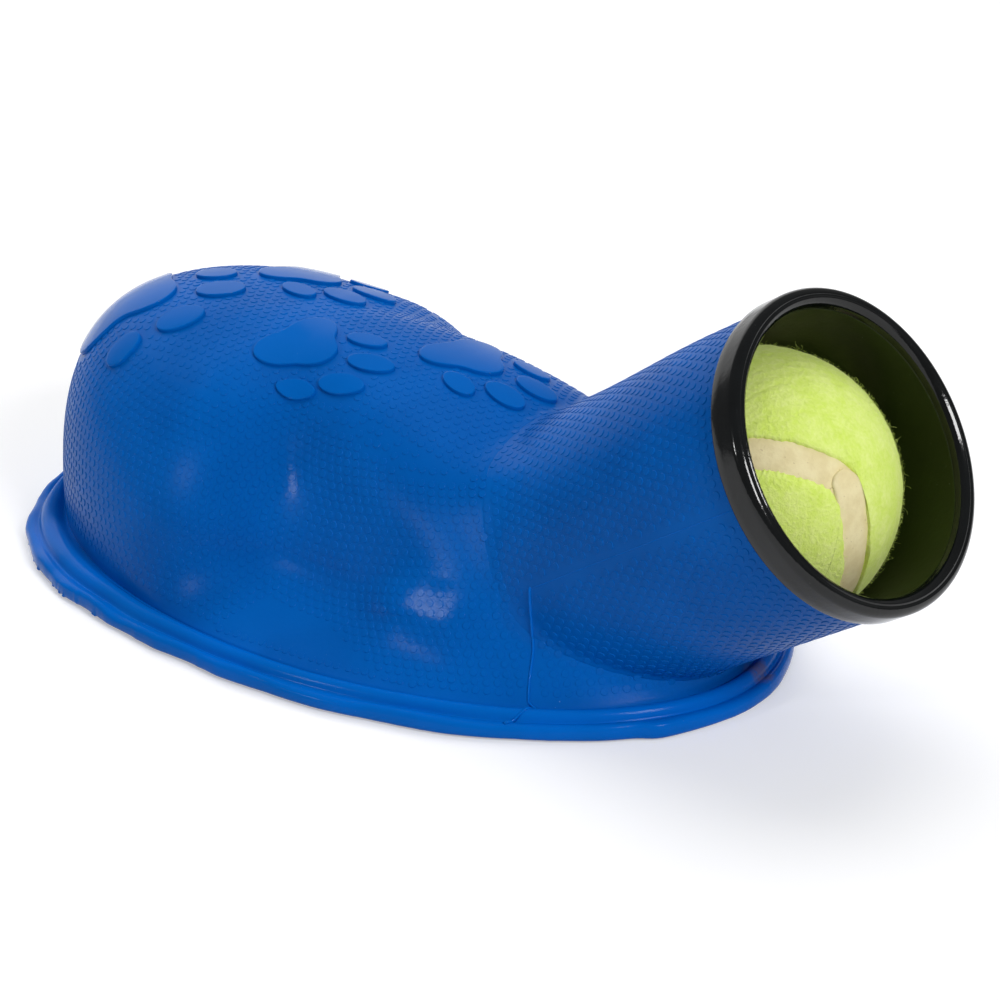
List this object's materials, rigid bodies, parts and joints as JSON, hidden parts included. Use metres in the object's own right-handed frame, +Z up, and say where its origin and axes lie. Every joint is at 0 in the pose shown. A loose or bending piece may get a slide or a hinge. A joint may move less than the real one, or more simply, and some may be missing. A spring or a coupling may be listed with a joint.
{
  "type": "foot ball launcher",
  "caption": "Soft air dome on an oval flange that is stomped to push a felt ball out of its angled barrel, for playing fetch with a pet.",
  "frame": {"origin": "middle of the oval base, on the floor", "axes": "+X along the launch direction towards the muzzle, +Z up, +Y to the launcher's left"},
  "size_m": [0.2663, 0.142, 0.1017],
  "materials": {
    "shell_vinyl": "satin with a fine pip grain",
    "print_vinyl": "smooth satin",
    "black_plastic": "semi-gloss",
    "core_rubber": "matte",
    "felt": "brushed nap",
    "seam_rubber": "matte"
  },
  "bodies": {
    "launcher": {"base_sheet": "shell_vinyl", "skirt": "shell_vinyl", "shoulder": "shell_vinyl", "neck": "shell_vinyl", "sleeve": "black_plastic", "seat_ring": "black_plastic", "muzzle_rim": "black_plastic"},
    "crown": {"crown": "shell_vinyl", "paw_prints": "print_vinyl"},
    "ball": {"ball_core_front": "core_rubber", "ball_core_rear": "core_rubber", "felt_panel_a": "felt", "felt_panel_b": "felt", "ball_seam": "seam_rubber"}
  },
  "joints": [
    {"name": "stomp", "type": "hinge", "parent": "launcher", "child": "crown", "pos_m": [0.0454, 0, 0.0551], "axis": [0, -1, 0], "range_deg": [0, 15], "stiffness_Nm_per_rad": 30, "deforming": ["shoulder"]},
    {"name": "ball_launch", "type": "slide", "parent": "launcher", "child": "ball", "axis": [0.8387, 0, 0.5446], "range_m": [0, 0.12]}
  ]
}
